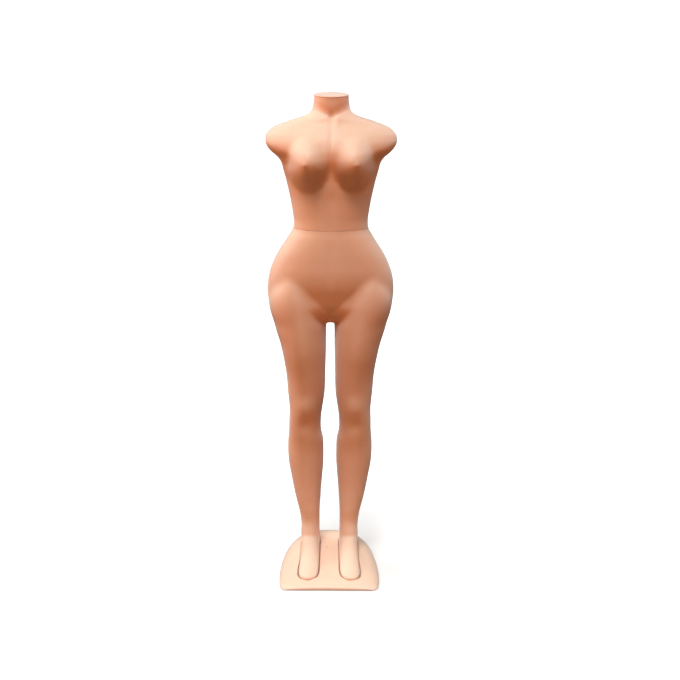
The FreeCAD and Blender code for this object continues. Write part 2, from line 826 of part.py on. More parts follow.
LOWER_TOP = "dims.parting_height - dims.parting_gap / 2"
UPPER_BOTTOM = "dims.parting_height + dims.parting_gap / 2"
PLATE_LOW = f"{LOWER_TOP} - dims.plate_thickness"
WASHER_TOP = f"{LOWER_TOP} + dims.friction_thickness"
WEB_TOP = f"{WASHER_TOP} + dims.spigot_web"
HEAD_LOW = f"{WEB_TOP} + dims.head_washer_thickness"
SPRING_TOP = f"{PLATE_LOW} - dims.load_washer_thickness"
SPRING_PAIR = "2 * (dims.spring_washer_thickness + dims.spring_washer_dish)"
NUT_TOP = f"{SPRING_TOP} - {SPRING_PAIR}"
PIVOT_BORE = "dims.pivot_radius + dims.pivot_running_clearance"

axis_washer("friction_washer", "dims.friction_radius", "dims.friction_thickness", LOWER_TOP)
axis_washer("load_washer", "dims.load_washer_radius", "dims.load_washer_thickness", SPRING_TOP)
axis_washer("head_washer", "dims.head_washer_radius", "dims.head_washer_thickness", WEB_TOP)

# the pivot bolt hangs head up through the spigot's web and the lower plate
bolt = new_body("pivot_bolt")
SHANK = f"({HEAD_LOW}) - ({NUT_TOP}) + dims.lock_nut_tall + dims.pivot_end"
discs(bolt, "dims.pivot_radius", "0", SHANK)
head = new_sketch(bolt, SHANK)
hexagon(head, "dims.pivot_head_flats")
pad(bolt, head, "dims.pivot_head_tall")
place_on_axis(bolt, f"({NUT_TOP}) - dims.lock_nut_tall - dims.pivot_end")

nut = new_body("lock_nut")
flats = new_sketch(nut)
hexagon(flats, "dims.pivot_head_flats")
circle(flats, PIVOT_BORE)
pad(nut, flats, "dims.lock_nut_tall * 0.75")
nut_collar = new_sketch(nut, "dims.lock_nut_tall * 0.75")
circle(nut_collar, "dims.pivot_head_flats * 0.42")
circle(nut_collar, PIVOT_BORE)
pad(nut, nut_collar, "dims.lock_nut_tall * 0.25")
nut.setExpression("Placement.Base.y", "dims.waist_axis_y")
nut.setExpression("Placement.Base.z", f"{NUT_TOP}")
nut.Placement.Rotation = FreeCAD.Rotation(V(1, 0, 0), 180)


def spring_washers():
    """Two dished spring washers, rim to rim, under the load washer."""
    thick, dish = size("spring_washer_thickness"), size("spring_washer_dish")
    rim = size("spring_washer_radius")
    bore = size("pivot_radius") + size("pivot_running_clearance")
    middle = plate_low - size("load_washer_thickness") - thick - dish
    corners = [V(bore, 0, dish), V(rim, 0, 0), V(rim, 0, thick), V(bore, 0, thick + dish)]
    profile = Part.makePolygon(corners + corners[:1])
    upper = Part.Face(profile).revolve(CENTRE, UP, 360)
    lower = upper.mirror(CENTRE, UP)
    for washer in (upper, lower):
        washer.translate(V(0, axis_y, middle))
    return Part.makeCompound([upper, lower])


NODES["spring_washers"] = put("spring_washers", spring_washers())

# ---------------------------------------------------------------- keyed spigot

spigot = new_body("waist_spigot")
discs(spigot, "dims.spigot_flange_radius", "0", "dims.spigot_flange_thickness")
discs(spigot, "dims.spigot_radius", "0", "dims.spigot_tall")
hollow = new_sketch(spigot, "dims.spigot_web")
circle(hollow, "dims.spigot_radius - dims.spigot_wall")
pocket(spigot, hollow, "dims.spigot_tall")
MID_WALL = "(dims.spigot_radius - dims.spigot_wall / 2)"
rib = new_sketch(spigot, "dims.spigot_web / 2")
rectangle(rib, "dims.head_washer_radius + 2.5", MID_WALL, "dims.spigot_rib_thickness")
rib_pad = pad(spigot, rib, "dims.spigot_tall * 0.6")
ribs = spigot.newObject("PartDesign::PolarPattern", "ribs")
ribs.Originals = [rib_pad]
ribs.Axis = (next(f for f in spigot.Origin.OriginFeatures if f.Role == "Z_Axis"), [""])
ribs.Angle = 360
ribs.Occurrences = 6
spigot.Tip = ribs
key = new_sketch(spigot, "dims.spigot_flange_thickness / 2")
KEY_TIP = "(dims.spigot_radius + dims.key_reach)"
rectangle(key, MID_WALL, KEY_TIP, "dims.key_width")
rectangle(key, f"-{KEY_TIP}", f"-{MID_WALL}", "dims.key_width")
pad(spigot, key, "dims.spigot_tall - dims.spigot_flange_thickness / 2")
bore = new_sketch(spigot, "-1")
circle(bore, PIVOT_BORE)
pocket(spigot, bore, "dims.spigot_web + 2")
place_on_axis(spigot, WASHER_TOP)

# ---------------------------------------------------------------- oval plates and the socket


def part_object(kind, name, **expressions):
    """A Part primitive whose properties are bound to the given expressions."""
    thing = doc.addObject(f"Part::{kind}", name)
    for prop, expression in expressions.items():
        thing.setExpression(prop.replace("__", "."), expression)
    return thing


def oval_plate(name, low, thick):
    """An oval plate that fits the shells' pocket with a little clearance."""
    edge = part_object(
        "Ellipse",
        f"{name}_outline",
        MajorRadius="dims.waist_half_width - dims.plate_inset - dims.plate_clearance",
        MinorRadius="dims.waist_half_depth - dims.plate_inset - dims.plate_clearance",
        Placement__Base__y="dims.waist_axis_y",
        Placement__Base__z=low,
    )
    plate = part_object("Extrusion", f"{name}_blank", LengthFwd=thick)
    plate.Base = edge
    plate.Dir = UP
    plate.DirMode = "Custom"
    plate.Solid = True
    return plate


def drill(name, radius, low, depth, x="0", y="0"):
    """A round cutter beside the waist axis."""
    return part_object(
        "Cylinder",
        name,
        Radius=radius,
        Height=depth,
        Placement__Base__x=x,
        Placement__Base__y=f"dims.waist_axis_y + {y}",
        Placement__Base__z=low,
    )


SCREW_PLACES = [
    ("dims.screw_side_x", "0"),
    ("dims.screw_corner_x", "dims.screw_corner_y"),
    ("-dims.screw_corner_x", "dims.screw_corner_y"),
    ("-dims.screw_side_x", "0"),
    ("-dims.screw_corner_x", "-dims.screw_corner_y"),
    ("dims.screw_corner_x", "-dims.screw_corner_y"),
]
SINK_RISE = "dims.screw_head_radius - dims.screw_radius"


def screw_cutters(name, face, upward):
    """The six countersunk holes of a plate whose outer face is at the height face."""
    cutters = []
    for number, (x, y) in enumerate(SCREW_PLACES):
        hole = drill(f"{name}_hole_{number}", "dims.screw_radius + 0.15", f"{face} - 8", "16", x, y)
        low = f"{face} - 0.01" if upward else f"{face} + 0.01 - dims.screw_head_tall"
        sink = part_object(
            "Cone",
            f"{name}_sink_{number}",
            Height="dims.screw_head_tall",
            Radius1="dims.screw_head_radius + 0.15" if upward else "dims.screw_radius + 0.15",
            Radius2="dims.screw_radius + 0.15" if upward else "dims.screw_head_radius + 0.15",
            Placement__Base__x=x,
            Placement__Base__y=f"dims.waist_axis_y + {y}",
            Placement__Base__z=low,
        )
        cutters += [hole, sink]
    return cutters


def boolean(kind, name, shapes):
    joined = doc.addObject(f"Part::{kind}", name)
    joined.Shapes = shapes
    return joined


def cut(label, base, cutters):
    tools = boolean("MultiFuse", f"{label}_tools", cutters)
    result = doc.addObject("Part::Cut", label)
    result.Label = label
    result.Base = base
    result.Tool = tools
    NODES[label] = result
    return result


plate = oval_plate("waist_plate", PLATE_LOW, "dims.plate_thickness")
centre_hole = drill("waist_plate_bore", PIVOT_BORE, f"{PLATE_LOW} - 1", "dims.plate_thickness + 2")
cut("waist_plate", plate, screw_cutters("waist_plate", LOWER_TOP, False) + [centre_hole])

SOCKET_ROOF = f"{WASHER_TOP} + dims.spigot_tall + dims.socket_headroom"
COLLAR_LOW = f"{UPPER_BOTTOM} + dims.plate_thickness"
CUP_TALL = f"{SOCKET_ROOF} + dims.socket_roof - ({COLLAR_LOW})"
COLLAR_TALL = "dims.socket_collar_tall + 1"
socket_blank = boolean(
    "MultiFuse",
    "socket_blank",
    [
        oval_plate("socket", UPPER_BOTTOM, "dims.plate_thickness"),
        drill("socket_collar", "dims.socket_collar_radius", f"{COLLAR_LOW} - 1", COLLAR_TALL),
        drill("socket_cup", "dims.socket_radius", COLLAR_LOW, CUP_TALL),
    ],
)
slot_reach = "dims.spigot_radius + dims.key_reach + dims.socket_clearance"
key_slot = part_object(
    "Box",
    "socket_slots",
    Length=f"2 * ({slot_reach})",
    Width="dims.key_width + 2 * dims.socket_clearance",
    Height=f"{SOCKET_ROOF} - ({UPPER_BOTTOM})",
    Placement__Base__x=f"-({slot_reach})",
    Placement__Base__y="dims.waist_axis_y - dims.key_width / 2 - dims.socket_clearance",
    Placement__Base__z=UPPER_BOTTOM,
)
flange_roof = f"{WASHER_TOP} + dims.spigot_flange_thickness + dims.flange_clearance"
cut(
    "waist_socket",
    socket_blank,
    screw_cutters("socket", UPPER_BOTTOM, True)
    + [
        drill(
            "socket_counterbore",
            "dims.spigot_flange_radius + dims.flange_side_clearance",
            f"{UPPER_BOTTOM} - 1",
            f"{flange_roof} - ({UPPER_BOTTOM}) + 1",
        ),
        drill(
            "socket_bore",
            "dims.spigot_radius + dims.socket_clearance",
            UPPER_BOTTOM,
            f"{SOCKET_ROOF} - ({UPPER_BOTTOM})",
        ),
        key_slot,
    ],
)


def plate_screws(label, face, upward):
    """Six countersunk screws whose heads lie flush with a plate's outer face."""
    body = new_body(label)
    heads = new_sketch(body)
    shanks = new_sketch(body)
    recesses = new_sketch(body)
    for place in SCREW_PLACES:
        circle(heads, "dims.screw_head_radius", place)
        circle(shanks, "dims.screw_radius - 0.05", place)
        circle(recesses, "dims.screw_head_radius * 0.45", place)
    pad(body, shanks, "dims.screw_length")
    pad(body, heads, "dims.screw_head_tall", -math.degrees(math.atan2(2.0, 2.4)))
    pocket(body, recesses, "dims.screw_head_tall * 0.6")
    body.setExpression("Placement.Base.y", "dims.waist_axis_y")
    body.setExpression("Placement.Base.z", face)
    if not upward:
        body.Placement.Rotation = FreeCAD.Rotation(V(1, 0, 0), 180)


plate_screws("plate_screws", LOWER_TOP, False)
plate_screws("socket_screws", UPPER_BOTTOM, True)

# ---------------------------------------------------------------- base fittings



def mirrored_places(name):
    """A place and its mirror image, as expressions for X and Y."""
    return [(f"{side}dims.{name}_x", f"dims.{name}_y") for side in ("", "-")]


PAD_PLACES = mirrored_places("pad_front") + mirrored_places("pad_back")
pads = new_body("base_pads")
discs(pads, "dims.pad_radius", "0", "dims.pad_thickness", PAD_PLACES)

BOLTS = {end: mirrored_places(f"{end}_bolt") for end in ("ball", "heel")}
soles = {"ball": foot_bolt_places()[0][2], "heel": foot_bolt_places()[2][2]}
foot_bolts = new_body("foot_bolts")
foot_washers = new_body("foot_washers")
foot_inserts = new_body("foot_inserts")
for end, places in BOLTS.items():
    sole_height = f"{soles[end]:.4f}"
    seat_height = f"{sole_height} - dims.well_floor_gap - dims.foot_bolt_web"
    washer_low = f"{seat_height} - dims.foot_washer_thickness"
    head_low = f"{washer_low} - dims.foot_bolt_head_tall"
    discs(foot_washers, "dims.foot_washer_radius", washer_low, "dims.foot_washer_thickness", places,
          hole="dims.foot_bolt_radius + 0.1")
    discs(foot_bolts, "dims.foot_bolt_head_radius", head_low, "dims.foot_bolt_head_tall", places)
    discs(foot_bolts, "dims.foot_bolt_radius", washer_low, "dims.foot_bolt_length", places)
    drive = new_sketch(foot_bolts, f"{head_low} - 1")
    for place in places:
        circle(drive, "dims.foot_bolt_radius * 0.8", place)
    pocket(foot_bolts, drive, "1 + dims.foot_bolt_head_tall * 0.6")
    discs(foot_inserts, "dims.insert_radius - 0.05", f"{sole_height} + 0.5", "dims.insert_tall - 0.8", places,
          hole="dims.foot_bolt_radius + 0.05")

TURN_BACK = FreeCAD.Rotation(V(1, 0, 0), -90)


def at_back(body, y):
    """Lays a body on the axis of the bung, growing to the back from a Y given as an expression."""
    body.setExpression("Placement.Base.y", y)
    body.setExpression("Placement.Base.z", "dims.bung_height")
    body.Placement.Rotation = TURN_BACK


seal = new_body("bung_seal")
SEAL_BORE = "dims.bung_bore_radius + 0.1"
discs(seal, "dims.bung_flange_radius - 1", "0", "dims.bung_seal_thickness", hole=SEAL_BORE)
at_back(seal, "dims.bung_seat_y")

bung = new_body("base_bung")
discs(bung, "dims.bung_bore_radius - dims.bung_plug_clearance", "-dims.bung_plug_length",
      "dims.bung_plug_length + dims.bung_flange_thickness")
discs(bung, "dims.bung_flange_radius", "0", "dims.bung_flange_thickness")
grip = new_sketch(bung, "dims.bung_flange_thickness")
rectangle(grip, "-(dims.bung_bore_radius)", "dims.bung_bore_radius", "dims.bung_grip_width")
pad(bung, grip, "dims.bung_grip_tall")
core = new_sketch(bung, "-dims.bung_plug_length - 1")
circle(core, "dims.bung_bore_radius - 3")
pocket(bung, core, "dims.bung_plug_length - 1")
at_back(bung, "dims.bung_seat_y + dims.bung_seal_thickness")

# ---------------------------------------------------------------- checks and export

doc.recompute()


def check(thing):
    if "Invalid" in thing.State or "Error" in thing.State:
        raise ValueError(f"{thing.Label}: {thing.State}")


for thing in doc.Objects:
    check(thing)
os.makedirs("parts", exist_ok=True)
for label, thing in NODES.items():
    if thing.Shape.isNull() or not thing.Shape.isValid():
        raise ValueError(f"{label} has no valid shape")
    thing.Shape.exportStep(f"parts/{label}.step")
    box = thing.Shape.BoundBox
    print(label, len(thing.Shape.Solids), round(thing.Shape.Volume / 1000, 2), "cm3", box)
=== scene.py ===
"""The looks of the display mannequin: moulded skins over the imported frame, its materials, and a studio.

Lengths are in metres, in the frame's own axes: +Z up, the figure faces -Y.
"""
import json
import math

import bmesh
import bpy
import numpy as np
from mathutils import Matrix, Vector


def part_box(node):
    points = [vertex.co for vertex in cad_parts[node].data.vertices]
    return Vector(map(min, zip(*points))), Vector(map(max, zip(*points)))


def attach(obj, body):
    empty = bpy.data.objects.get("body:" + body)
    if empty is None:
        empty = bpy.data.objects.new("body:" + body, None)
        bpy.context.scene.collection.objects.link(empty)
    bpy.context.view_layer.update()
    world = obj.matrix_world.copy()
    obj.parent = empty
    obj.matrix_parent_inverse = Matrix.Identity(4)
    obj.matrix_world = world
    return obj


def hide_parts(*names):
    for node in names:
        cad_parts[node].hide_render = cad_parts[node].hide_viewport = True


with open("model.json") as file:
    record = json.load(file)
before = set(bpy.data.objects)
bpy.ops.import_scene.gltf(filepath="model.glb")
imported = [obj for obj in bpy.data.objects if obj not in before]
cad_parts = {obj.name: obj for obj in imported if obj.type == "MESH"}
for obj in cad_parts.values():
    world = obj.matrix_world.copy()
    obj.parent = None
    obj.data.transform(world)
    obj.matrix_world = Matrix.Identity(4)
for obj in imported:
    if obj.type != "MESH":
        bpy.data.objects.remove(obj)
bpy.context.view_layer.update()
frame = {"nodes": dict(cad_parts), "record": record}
nodes = frame["nodes"]

# ---------------------------------------------------------------- sizes, from the frame where it has them

MM = 0.001
TORSO_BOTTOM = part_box("torso_shell")[0][2]
LOWER_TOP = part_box("lower_body_shell")[1][2]
plate_low, plate_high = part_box("waist_plate")
WAIST_Y = (plate_low[1] + plate_high[1]) / 2
POCKET_HALF_WIDTH = (plate_high[0] - plate_low[0]) / 2 + 0.4 * MM
POCKET_HALF_DEPTH = (plate_high[1] - plate_low[1]) / 2 + 0.4 * MM
POCKET_DEPTH = plate_high[2] - plate_low[2] + 1 * MM
NECK_SLOPE = math.radians(6)
CAP_UP = Vector((0, -math.sin(NECK_SLOPE), math.cos(NECK_SLOPE)))
CAP_POINT = Vector((0, 6 * MM, 1497.5 * MM))
CAP_THICK = 4 * MM
CAP_REVEAL = 0.3 * MM
SKIRT_OUTSIDE = 3.3 * MM
SKIRT_INSIDE = 5.6 * MM
SKIRT_DEPTH = 14 * MM
SKIN_THICK = 2.5 * MM
LIP = 0.35 * MM
CAP_EDGE = 1.5 * LIP
NECK_RIM_FLAT = 0.8 * SKIN_THICK
NECK_END = CAP_POINT - CAP_UP * (CAP_THICK + CAP_REVEAL)
BETWEEN_BOLTS_Y = -30 * MM
BOLT_SEAT_RADIUS = 11 * MM
VENTS = ((-22.8 * MM, -61.7 * MM), (-9 * MM, 12 * MM))
VENT_DEPTH = 5 * MM

UP = Vector((0, 0, 1))
RIGHT = Vector((1, 0, 0))
FRONT = (0, -1, 0)
BACK = (0, 1, 0)
UP_FRONT = (0, -0.6, 0.8)

# How the skins are meshed: voxel sizes, how far an opening is cut back and drawn out before it is closed,
# and what the smoothing takes off all over.
VOXEL = 3 * MM
BASE_VOXEL = 1.5 * MM
CUT_BACK = 0.2 * MM
EXTRA = 15 * MM
SHRINK = 1 * MM


# ---------------------------------------------------------------- mesh tools


def bmesh_of(node):
    """A welded copy of a CAD node's mesh."""
    copy = bmesh.new()
    copy.from_mesh(nodes[node].data)
    bmesh.ops.remove_doubles(copy, verts=copy.verts, dist=0.01 * MM)
    return copy


def trim(mesh, point, away):
    """Cuts off what lies beyond a plane, on the side that away points to."""
    whole = mesh.verts[:] + mesh.edges[:] + mesh.faces[:]
    bmesh.ops.bisect_plane(mesh, geom=whole, dist=1e-7, plane_co=point, plane_no=away, clear_outer=True)


def keep_largest(mesh):
    """Keeps only the connected piece that spans the most, which is a shell's outer skin."""
    left = set(mesh.verts)
    pieces = []
    while left:
        start = left.pop()
        piece, queue = {start}, [start]
        while queue:
            for edge in queue.pop().link_edges:
                for other in edge.verts:
                    if other in left:
                        left.discard(other)
                        piece.add(other)
                        queue.append(other)
        pieces.append(piece)

    def room_taken(piece):
        points = np.array([v.co for v in piece])
        return float(np.prod(np.ptp(points, axis=0)))

    largest = max(pieces, key=room_taken)
    bmesh.ops.delete(mesh, geom=[v for v in mesh.verts if v not in largest], context="VERTS")


def open_edges(mesh, near, along, reach=3 * MM):
    """The open edges that lie near a plane."""

    def is_near(vertex):
        return abs((vertex.co - near).dot(along)) < reach

    return [e for e in mesh.edges if e.is_boundary and all(is_near(v) for v in e.verts)]


def extend_and_close(mesh, near, along):
    """Draws the opening at a plane out along its normal and closes it flat."""
    drawn = bmesh.ops.extrude_edge_only(mesh, edges=open_edges(mesh, near, along))["geom"]
    moved = [v for v in drawn if isinstance(v, bmesh.types.BMVert)]
    bmesh.ops.translate(mesh, verts=moved, vec=along * EXTRA)
    bmesh.ops.contextual_create(mesh, geom=[e for e in drawn if isinstance(e, bmesh.types.BMEdge)])


def object_from(mesh, name):
    """A new object in the scene that holds a bmesh."""
    data = bpy.data.meshes.new(name)
    bmesh.ops.recalc_face_normals(mesh, faces=mesh.faces)
    mesh.to_mesh(data)
    mesh.free()
    made = bpy.data.objects.new(name, data)
    bpy.context.scene.collection.objects.link(made)
    return made


def bake(thing):
    """Applies the object's modifiers to its mesh."""
    finished = thing.evaluated_get(bpy.context.evaluated_depsgraph_get())
    data = bpy.data.meshes.new_from_object(finished)
    thing.modifiers.clear()
    thing.data = data


def remeshed(mesh, name, voxel=VOXEL):
    thing = object_from(mesh, name)
    remesh = thing.modifiers.new("voxels", "REMESH")
    remesh.mode = "VOXEL"
    remesh.voxel_size = voxel
    bake(thing)
    return thing


def points_of(data):
    points = np.empty(len(data.vertices) * 3)
    data.vertices.foreach_get("co", points)
    return points.reshape(-1, 3)


def normals_of(data):
    normals = np.empty(len(data.vertices) * 3)
    data.vertices.foreach_get("normal", normals)
    return normals.reshape(-1, 3)


def set_points(data, points):
    data.vertices.foreach_set("co", points.ravel())
    data.update()


def relax(data, rounds, weight=1.0):
    """Smooths a mesh: each vertex goes halfway to its neighbours' middle, times its weight."""
    points = points_of(data)
    ends = np.empty(len(data.edges) * 2, int)
    data.edges.foreach_get("vertices", ends)
    a, b = ends.reshape(-1, 2).T
    degree = np.bincount(a, minlength=len(points)) + np.bincount(b, minlength=len(points))
    degree = np.maximum(degree, 1)
    share = np.broadcast_to(np.asarray(weight, float), (len(points),))
    for _ in range(rounds):
        for axis in range(3):
            column = points[:, axis]
            total = np.bincount(a, column[b], len(points)) + np.bincount(b, column[a], len(points))
            points[:, axis] = column + 0.5 * share * (total / degree - column)
    set_points(data, points)


def grow(data, distance):
    """Moves a mesh outward all over, to give back what smoothing takes."""
    set_points(data, points_of(data) + normals_of(data) * distance)


def press(data, field):
    """Moves a mesh along its normals by a field of places and normals."""
    points, normals = points_of(data), normals_of(data)
    set_points(data, points + normals * field(points, normals)[:, None])


def press_in(data, field, direction):
    """Moves a mesh in one direction by a field of places and normals."""
    points, normals = points_of(data), normals_of(data)
    set_points(data, points + np.outer(field(points, normals), direction))


# ---------------------------------------------------------------- fields over a surface


def mirrored(field):
    """A field of |x|, height and normals, for a form that is the same left and right."""
    return lambda points, normals: field(np.abs(points[:, 0]), points[:, 2], normals)


def bell(distance, width):
    """1 in the middle, down to a third at the width and then away to 0."""
    return np.exp(-((distance / width) ** 2))


def ramp(value, start, end):
    """0 up to start, 1 from end on and smooth between."""
    t = np.clip((value - start) / (end - start), 0, 1)
    return t * t * (3 - 2 * t)


def fade(value, start, end):
    """1 up to start, 0 from end on and smooth between."""
    return ramp(-value, -end, -start)


def span(value, rise, full, fall, end):
    """0 up to rise, 1 from full to fall, 0 from end on and smooth between."""
    return ramp(value, rise, full) * fade(value, fall, end)


def facing(normals, direction, start=0.0, end=0.5):
    """1 where a surface faces a direction, fading to 0 where it turns away."""
    return ramp(normals @ np.asarray(direction, float), start, end)


def to_line(u, v, start, end):
    """Distance in a plane from points (u, v) to the line from start to end."""
    across = np.subtract(end, start)
    t = ((u - start[0]) * across[0] + (v - start[1]) * across[1]) / (across @ across)
    t = np.clip(t, 0, 1)
    return np.hypot(u - start[0] - t * across[0], v - start[1] - t * across[1])


# ---------------------------------------------------------------- moulded skins


def skin_of(node, name, cuts):
    """The node's outer skin as one evenly meshed closed solid, drawn out a little past each cut plane."""
    mesh = bmesh_of(node)
    planes = [(point - along * CUT_BACK, along) for point, along in cuts]
    for point, along in planes:
        trim(mesh, point, along)
    keep_largest(mesh)
    for point, along in planes:
        extend_and_close(mesh, point, along)
    return remeshed(mesh, name)


# The forms below are places across (|x|) and up (z) in metres, and how far each moves the skin out or in.

LEG = 0.077
KNEECAP_HEIGHT = 0.565
KNEE_FOOT_HEIGHT = 0.503
KNEE_HOLLOW_HEIGHT = 0.490
ANKLE_HEIGHT = 0.128
NIPPLE = (0.0715, 1.311)
THIGH = (0.088, 0.75)
UPPER_BUST = (0.055, 1.372)
THROAT_HEIGHT = 1.437
NECK_FOOT_HEIGHT, NECK_FOOT_SLOPE = 1.429, 0.42
COLLARBONE = ((0.012, 1.432), (0.120, 1.425))
UNDER_COLLARBONE = ((0.030, 1.415), (0.105, 1.408))
SHOULDER_BLADE = ((0.075, 1.40), (0.085, 1.31))
BESIDE_SPINE = ((0.045, 1.385), (0.050, 1.29))
GROIN = ((0.018, 0.838), (0.120, 0.950))
CROTCH_HEIGHT, GROIN_SLOPE = 0.825, 0.9
SEAT_FOLD = ((0.020, 0.868), (0.115, 0.876))


def torso_details(x, z, normals):
    """Collarbones, the notch and foot of the neck, bust, breastbone, spine and shoulder blades."""
    front, back = facing(normals, FRONT), facing(normals, BACK)
    above = facing(normals, UP_FRONT, 0.1, 0.6)
    either = np.maximum(front, above)
    collarbone = bell(to_line(x, z, *COLLARBONE), 0.007)
    under_collarbone = bell(to_line(x, z, *UNDER_COLLARBONE), 0.010)
    throat = bell(x, 0.009) * bell(z - THROAT_HEIGHT, 0.014)
    breastbone = bell(x, 0.009) * span(z, 1.24, 1.28, 1.38, 1.43)
    belly_line = bell(x, 0.012) * fade(z, 1.20, 1.235)
    over_neck_foot = z - NECK_FOOT_HEIGHT - NECK_FOOT_SLOPE * x
    neck_foot = span(over_neck_foot, -0.004, 0.007, 0.007, 0.040) * fade(x, 0.034, 0.058)
    upper_bust = bell(z - UPPER_BUST[1], 0.022) * bell(x - UPPER_BUST[0], 0.050)
    from_nipple = np.hypot(x - NIPPLE[0], z - NIPPLE[1])
    nipple, around_nipple = bell(from_nipple, 0.0055), bell(from_nipple, 0.017)
    spine = bell(x, 0.016) * span(z, 1.10, 1.16, 1.36, 1.42)
    blade = bell(to_line(x, z, *SHOULDER_BLADE), 0.030)
    beside_spine = bell(to_line(x, z, *BESIDE_SPINE), 0.014)
    move = (1.6 * MM * collarbone - 2.2 * MM * under_collarbone) * above
    move -= (5.0 * MM * throat + 4.0 * MM * neck_foot) * either
    move -= (2.0 * MM * breastbone + 1.4 * MM * belly_line) * front
    move += (3.5 * MM * upper_bust + 2.6 * MM * nipple + 1.6 * MM * around_nipple) * front
    move += (3.5 * MM * blade - 4.5 * MM * spine - 1.2 * MM * beside_spine) * back
    return move


def lower_details(x, z, normals):
    """Groins, belly, thighs, knees and insteps."""
    front, back = facing(normals, FRONT), facing(normals, BACK)
    groin = bell(to_line(x, z, *GROIN), 0.014) * fade(x, 0.09, 0.135)
    between_groins = ramp((z - CROTCH_HEIGHT) * GROIN_SLOPE - x, -0.014, 0.034) * fade(z, 0.87, 1.0)
    thigh = bell(x - THIGH[0], 0.050) * bell(z - THIGH[1], 0.075)
    belly_line = bell(x, 0.010) * span(z, 0.93, 0.98, 1.05, 1.10)
    kneecap = bell(x - LEG, 0.026) * bell(z - KNEECAP_HEIGHT, 0.030)
    knee_foot = bell(x - LEG, 0.030) * bell(z - KNEE_FOOT_HEIGHT, 0.026)
    knee_hollow = bell(x - LEG, 0.016) * bell(z - KNEE_HOLLOW_HEIGHT, 0.030)
    instep = bell(x - LEG, 0.034) * bell(z - ANKLE_HEIGHT, 0.028)
    move = -(1.5 * MM * groin + 10.0 * MM * between_groins + 1.2 * MM * belly_line) * front
    move += (6.0 * MM * thigh + 4.0 * MM * kneecap - 3.5 * MM * knee_foot + 6.0 * MM * instep) * front
    move -= 2.5 * MM * knee_hollow * back
    return move


def behind(x, z, normals):
    """The cleft and the folds under the buttocks, pressed straight in from behind."""
    back = facing(normals, BACK, -0.2, 0.4)
    cleft = bell(x, 0.010) * span(z, 0.83, 0.88, 0.985, 1.035)
    fold = bell(to_line(x, z, *SEAT_FOLD), 0.010) * fade(x, 0.09, 0.150)
    return -(14 * MM * cleft + 4 * MM * fold) * back


def vents(points, normals):
    """The two small vent holes in the base's top."""
    away = np.min([np.hypot(points[:, 0] - x, points[:, 1] - y) for x, y in VENTS], axis=0)
    return VENT_DEPTH * fade(away, 1.6 * MM, 2.8 * MM) * facing(normals, UP, 0.2, 0.5)


# ---------------------------------------------------------------- rims and openings


def add_rows(mesh, loop, rows, closed=False):
    """Joins an opening's loop of vertices to further rows of points, one point to each vertex."""
    before = loop
    for row in rows:
        after = [mesh.verts.new(point) for point in row]
        for i in range(len(loop)):
            j = (i + 1) % len(loop)
            mesh.faces.new((before[i], before[j], after[j], after[i]))
        before = after
    if closed:
        mesh.faces.new(before)


def opening_loop(mesh, point, along, front):
    """The vertices of the opening in a plane, in order round a point in it."""

    def angle(vertex):
        away = vertex.co - point
        return math.atan2(away.dot(front), away.dot(RIGHT))

    edges = open_edges(mesh, point, along, 0.05 * MM)
    return sorted({v for e in edges for v in e.verts}, key=angle)


def inward_of(points, centre, along):
    """The direction from each point to a centre, level with an opening that faces along."""
    return [(centre - p - along * (centre - p).dot(along)).normalized() for p in points]


def rolled_rows(points, inward, up):
    """Rows that turn an edge inward through a quarter circle of the lip's radius."""
    rows = []
    for turn in (30, 60, 90):
        angle = math.radians(turn)
        inset, rise = LIP * (1 - math.cos(angle)), up * LIP * math.sin(angle)
        rows.append([p + d * inset + rise for p, d in zip(points, inward)])
    return rows


def pocket_point(vertex, inset, height):
    """The point of the plate's pocket at a vertex's angle, inset from its wall."""
    angle = math.atan2((vertex.co.y - WAIST_Y) / POCKET_HALF_DEPTH, vertex.co.x / POCKET_HALF_WIDTH)
    x = (POCKET_HALF_WIDTH - inset) * math.cos(angle)
    y = (POCKET_HALF_DEPTH - inset) * math.sin(angle)
    return Vector((x, WAIST_Y + y, height))


def waist_rim(mesh, height, up):
    """Rolls a shell's edge over at the waist and down into the pocket that holds its plate."""
    centre = Vector((0, WAIST_Y, height))
    point = centre - up * LIP
    trim(mesh, point, up)
    loop = opening_loop(mesh, point, up, Vector(BACK))
    edge = [v.co.copy() for v in loop]
    rows = rolled_rows(edge, inward_of(edge, centre, up), up)
    rows.append([pocket_point(v, -LIP, height) for v in loop])
    rows.append([pocket_point(v, 0, height) - up * LIP for v in loop])
    rows.append([pocket_point(v, 0, height) - up * POCKET_DEPTH for v in loop])
    add_rows(mesh, loop, rows)


def neck_rim(mesh):
    """Cuts the neck off square to its slope and rolls its edge in; gives back the edge and the way in."""
    point = NECK_END - CAP_UP * LIP
    trim(mesh, point, CAP_UP)
    loop = opening_loop(mesh, point, CAP_UP, CAP_UP.cross(RIGHT))
    edge = [v.co.copy() for v in loop]
    inward = inward_of(edge, point, CAP_UP)
    rows = rolled_rows(edge, inward, CAP_UP)
    rows.append([p + d * NECK_RIM_FLAT + CAP_UP * LIP for p, d in zip(edge, inward)])
    add_rows(mesh, loop, rows)
    return edge, inward


def thicken(thing):
    solidify = thing.modifiers.new("wall", "SOLIDIFY")
    solidify.thickness = SKIN_THICK
    solidify.offset = -1
    solidify.use_rim = True
    bake(thing)


def edit(thing, work):
    """Runs work on a bmesh of the object's mesh and writes it back."""
    mesh = bmesh.new()
    mesh.from_mesh(thing.data)
    result = work(mesh)
    bmesh.ops.recalc_face_normals(mesh, faces=mesh.faces)
    mesh.to_mesh(thing.data)
    mesh.free()
    return result


# ---------------------------------------------------------------- torso, lower body and neck cap


def torso_rims(mesh):
    """Both of the torso's rims; gives back the neck's edge and the way in from it."""
    waist_rim(mesh, TORSO_BOTTOM, -UP)
    return neck_rim(mesh)


